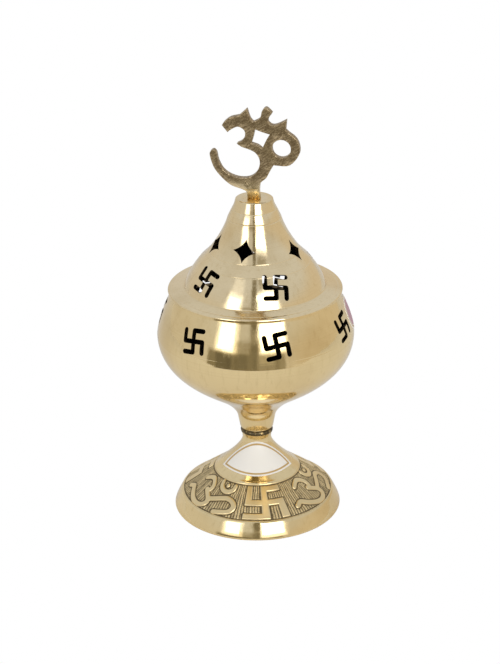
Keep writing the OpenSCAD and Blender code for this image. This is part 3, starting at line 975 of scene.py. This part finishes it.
class BURNER_OT_lid(bpy.types.Operator):
    """Turns the lid with its flange and skirt, and cuts the sun signs and stars"""

    bl_idname = "burner.lid"
    bl_label = "Lid"

    def execute(self, context):
        lines = BurnerOutlines(sizes())
        rim, top, wall, flange = lines.rim, lines.top, lines.wall, lines.flange_r
        skirt = lines.mouth_r - SKIRT_GAP
        seat = top - wall
        skin = grooved(lines.lid_wall, top - 8.4, depth=0.14)
        for height in (top - 4.4, rim + 13.2, rim + 17.3):
            skin = grooved(skin, height, width=0.3, depth=0.10)
        inner = beside(lines.lid_wall, wall)
        rim_line = [
            (flange - 0.3 - inset, rim + 0.8 + RIM_SLOPE * inset - sink)
            for inset, sink in ((1.7, 0), (1.85, 0.07), (2.05, 0.07), (2.2, 0))
        ]
        low = rim - SKIRT_DEPTH
        outside = [(skirt - wall, low), (skirt - 0.3, low), (skirt, low + 0.5)]
        outside += [(skirt, rim), (flange - 0.4, rim), (flange, rim + 0.3)]
        outside += [(flange - 0.3, rim + 0.8), *rim_line, *skin, (7.7, top - 0.3), (7.2, top)]
        inside = [(FINIAL_BORE, top), (FINIAL_BORE, seat), (inner[-1][0] - 0.2, seat)]
        inside += [*[p for p in inner if p[1] < seat - 0.3][::-1], (skirt - wall, rim + 0.3)]
        shape = spin_outline(softened([*outside, *inside]), sizes().turning_steps)
        shell = np.vstack([[(skirt, low)], [(skirt, rim - 0.01)], [(flange, rim + 0.3)],
                           lines.lid_wall, [(7.2, top)]])
        mark_inside(shape, shell, wall)
        cutters = bmesh.new()
        sign = sun_outline(sizes().sign_width, sizes().slot_width)
        level = rim + LID_SIGN_UP
        add_cutters(cutters, sign, lines.lid_wall, level, LID_SIGNS, -SIGN_TILT, SIGN_CUT)
        star = star_outline(sizes().star_width, sizes().star_height)
        level = rim + STAR_UP
        add_cutters(cutters, star, lines.lid_wall, level, LID_STARS, -STAR_TILT, STAR_CUT)
        finishes = ("lid_brass", "smoked_brass", "cut_brass")
        mesh = pierced(shape, cutters, "lid_turned", finishes)
        finish_piece("lid_turned", mesh, "lid", ["lid"], "polished_brass")
        return {"FINISHED"}


class BURNER_OT_finial(bpy.types.Operator):
    """Rounds the filed edges of the cast Om"""

    bl_idname = "burner.finial"
    bl_label = "Om finial"

    def execute(self, context):
        shape = bmesh.new()
        shape.from_mesh(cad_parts["om_finial"].data)
        bmesh.ops.remove_doubles(shape, verts=shape.verts[:], dist=1e-6)
        bmesh.ops.dissolve_limit(
            shape, angle_limit=math.radians(1), verts=shape.verts[:], edges=shape.edges[:],
        )
        sharp = [e for e in shape.edges if e.is_manifold and e.calc_face_angle(0) > 0.9
                 and min(v.co.z for v in e.verts) > sizes().lid_height + 1 * MM]
        bmesh.ops.bevel(
            shape, geom=sharp, offset=0.3 * MM, offset_type="OFFSET", affect="EDGES", segments=2,
            profile=0.5, material=-1, clamp_overlap=True,
        )
        bmesh.ops.triangulate(shape, faces=[f for f in shape.faces if len(f.verts) > 4])
        neck_top = sizes().lid_height + 4.2 * MM
        for face in shape.faces:
            if max(v.co.z for v in face.verts) < neck_top:
                face.material_index = 1
        mesh = mesh_from(shape, "om_cast", 40)
        finish_piece(
            "om_cast", mesh, "lid", ["om_finial"], "cast_brass", "om_brass", "fastener_stock"
        )
        return {"FINISHED"}


class BURNER_OT_fasteners(bpy.types.Operator):
    """Gives the stud, the washers and the nuts their machined finish"""

    bl_idname = "burner.fasteners"
    bl_label = "Fasteners"

    def execute(self, context):
        for name in ("stem_stud", "foot_washer", "foot_nut", "finial_washer", "finial_nut"):
            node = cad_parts[name]
            node.data.materials.clear()
            node.data.materials.append(bpy.data.materials["fastener_stock"])
        return {"FINISHED"}


class BURNER_OT_labels(bpy.types.Operator):
    """Lays the two plain paper labels on the foot and the bowl"""

    bl_idname = "burner.labels"
    bl_label = "Labels"

    def execute(self, context):
        lines = BurnerOutlines(sizes())
        cone_middle = (lines.foot_cone[0][1] + lines.foot_cone[-1][1]) / 2
        for name, outline, height, degrees, size, middle in (
            ("foot_label", lines.foot_cone, cone_middle, 0, FOOT_LABEL, colours().paper),
            ("bowl_label", lines.bowl_neck, lines.rim - BOWL_LABEL_DROP, BOWL_LABEL_AT,
             BOWL_LABEL, colours().rose),
        ):
            place = wall_frame(outline, height, degrees, 0)
            half_width, half_height = size[0] / 2 * MM, size[1] / 2 * MM
            pointed = name == "foot_label"
            label_paper(name + "_paper", place, half_width, half_height, pointed, middle)
            shape = flat_label(half_width, half_height, pointed)
            lay_on_wall(shape, outline, place)
            mesh = mesh_from(shape, name + "_laid", 50)
            finish_piece(name + "_laid", mesh, "base", [name], "paper_label", name + "_paper")
        return {"FINISHED"}


class BURNER_OT_finishes(bpy.types.Operator):
    """Makes the brass finishes that the pieces share"""

    bl_idname = "burner.finishes"
    bl_label = "Finishes"

    def execute(self, context):
        turned_brass("bowl_brass", colours().brass, 0.075)
        turned_brass("lid_brass", colours().lid_brass, 0.11)
        engraved_brass("band_brass")
        cast_brass("om_brass")
        painted_shade_brass("bead_painted_shade")
        sooty_brass("smoked_brass")
        cut_brass("cut_brass")
        machined_brass("fastener_stock")
        return {"FINISHED"}


class BURNER_OT_stage(bpy.types.Operator):
    """Sets the pale floor, the white room, the two softboxes and the camera"""

    bl_idname = "burner.stage"
    bl_label = "Stage"

    def execute(self, context):
        self.floor(context)
        self.room(context)
        settings = stage_settings()
        self.softbox(context, "softbox_left", *SOFTBOX_LEFT, settings.softbox_left)
        self.softbox(context, "softbox_right", *SOFTBOX_RIGHT, settings.softbox_right)
        self.camera(context)
        return {"FINISHED"}

    def floor(self, context):
        shape = bmesh.new()
        bmesh.ops.create_grid(shape, x_segments=1, y_segments=1, size=1.0)
        bmesh.ops.scale(shape, vec=FLOOR_HALF, verts=shape.verts[:])
        bmesh.ops.translate(shape, vec=(0, FLOOR_BEHIND, CAD_BOX[0].z), verts=shape.verts[:])
        floor = new_object("floor", mesh_from(shape, "floor"))
        nodes, diffuse, _ = new_material("pale_floor", 0.0, 0.9, 0.0)
        diffuse.inputs["Base Color"].default_value = FLOOR_COLOUR
        glow = nodes.add("ShaderNodeEmission")
        camera = nodes.add("ShaderNodeLightPath").outputs["Is Camera Ray"]
        mix = nodes.add(
            "ShaderNodeMixShader", {0: camera, 1: diffuse.outputs[0], 2: glow.outputs[0]}
        )
        nodes.link(mix.outputs[0], nodes.tree.nodes["Material Output"].inputs["Surface"])
        floor.data.materials.append(bpy.data.materials["pale_floor"])

    def room(self, context):
        world = bpy.data.worlds.new("white_room")
        context.scene.world = world
        world.use_nodes = True
        nodes = Nodes(world.node_tree)
        x, y, z = nodes.split(nodes.add("ShaderNodeTexCoord").outputs["Generated"])
        azimuth = nodes.math("ARCTAN2", x, nodes.times(y, -1.0))
        height = nodes.math("ARCSINE", z)

        def part_of_room(turn_low, turn_high, low, high, strength, soft=DIM_EDGE):
            """strength within a part of the room, fading to 0 outside it."""
            half = math.radians(soft) / 2
            for value, start, end in ((azimuth, turn_low, turn_high), (height, low, high)):
                a, b = math.radians(start), math.radians(end)
                rise = nodes.fade(value, a - half, a + half)
                fall = nodes.fade(value, b - half, b + half, 1, 0)
                strength = nodes.times(nodes.times(rise, fall), strength)
            return strength

        shade = 1.0
        for dim in DIM_PARTS:
            left = nodes.math("SUBTRACT", 1.0, part_of_room(*dim))
            shade = nodes.times(left, shade)
        lit = nodes.times(shade, stage_settings().room)
        for glow in LIT_PARTS:
            lit = nodes.math("ADD", part_of_room(*glow), lit)
        warm = nodes.fade(azimuth, math.radians(20), math.radians(60))
        low = nodes.fade(height, math.radians(8), math.radians(30), 1, 0)
        cool = nodes.blend(low, UPPER_LIGHT, LOWER_LIGHT)
        tint = nodes.blend(nodes.times(warm, low), cool, WARM_SIDE)
        tint = nodes.blend(nodes.fade(shade, 0.35, 0.95), DIM_LIGHT, tint)
        camera = nodes.add("ShaderNodeLightPath").outputs["Is Camera Ray"]
        seen = nodes.math("MAXIMUM", camera, lit)
        background = world.node_tree.nodes["Background"]
        nodes.link(nodes.blend(camera, tint, WHITE), background.inputs["Color"])
        nodes.link(seen, background.inputs["Strength"])

    def softbox(self, context, name, azimuth, elevation, wide, tall, brightness):
        data = bpy.data.lights.new(name, "AREA")
        data.shape = "RECTANGLE"
        data.size = 2 * SOFTBOX_REACH * math.tan(math.radians(wide / 2))
        data.size_y = 2 * SOFTBOX_REACH * math.tan(math.radians(tall / 2))
        data.energy = brightness * math.pi * data.size * data.size_y
        data.color = SOFTBOX_COLOUR
        light = new_object(name, data)
        a, e = math.radians(azimuth), math.radians(elevation)
        back = Vector((math.sin(a) * math.cos(e), -math.cos(a) * math.cos(e), math.sin(e)))
        light.location = Vector((0, 0, SOFTBOX_AIM)) + back * SOFTBOX_REACH
        light.rotation_euler = (-back).to_track_quat("-Z", "Y").to_euler()
        light.visible_camera = False

    def camera(self, context):
        settings = stage_settings()
        data = bpy.data.cameras.new("camera")
        data.sensor_width = 36
        data.lens = CAMERA_LENS
        data.shift_x = CAMERA_SHIFT
        data.clip_start, data.clip_end = 0.05, 20
        camera = new_object("camera", data)
        e = settings.camera_elevation
        aim = Vector((0, 0, settings.aim_height))
        back = Vector((0, -math.cos(e), math.sin(e)))
        turn = (-back).to_track_quat("-Z", "Y").to_matrix().to_4x4()
        turn @= Matrix.Rotation(math.radians(CAMERA_ROLL), 4, "Z")
        camera.matrix_world = Matrix.Translation(aim + back * settings.camera_distance) @ turn
        context.scene.camera = camera
        context.scene.view_settings.view_transform = "Standard"


class BURNER_PT_panel(bpy.types.Panel):
    """Lists the burner's pieces"""

    bl_idname = "BURNER_PT_panel"
    bl_label = "Brass Incense Burner"
    bl_space_type = "VIEW_3D"
    bl_region_type = "UI"
    bl_category = "Burner"

    def draw(self, context):
        for operator in OPERATORS:
            self.layout.operator(operator.bl_idname)
        for group in (sizes(), colours(), stage_settings()):
            box = self.layout.box()
            for name in group.bl_rna.properties.keys():
                if name not in ("rna_type", "name"):
                    box.prop(group, name)


OPERATORS = (
    BURNER_OT_finishes, BURNER_OT_foot, BURNER_OT_band, BURNER_OT_bowl, BURNER_OT_lid,
    BURNER_OT_finial, BURNER_OT_fasteners, BURNER_OT_labels, BURNER_OT_stage,
)
CLASSES = (BurnerSizes, BurnerColours, StageSettings, *OPERATORS, BURNER_PT_panel)


def register():
    for made in CLASSES:
        bpy.utils.register_class(made)
    bpy.types.Scene.burner_sizes = PointerProperty(type=BurnerSizes)
    bpy.types.Scene.burner_colours = PointerProperty(type=BurnerColours)
    bpy.types.Scene.burner_stage = PointerProperty(type=StageSettings)


def unregister():
    del bpy.types.Scene.burner_stage
    del bpy.types.Scene.burner_colours
    del bpy.types.Scene.burner_sizes
    for made in reversed(CLASSES):
        bpy.utils.unregister_class(made)


def main():
    register()
    for operator in OPERATORS:
        getattr(bpy.ops.burner, operator.bl_idname.removeprefix("burner."))()


if __name__ == "__main__":
    main()
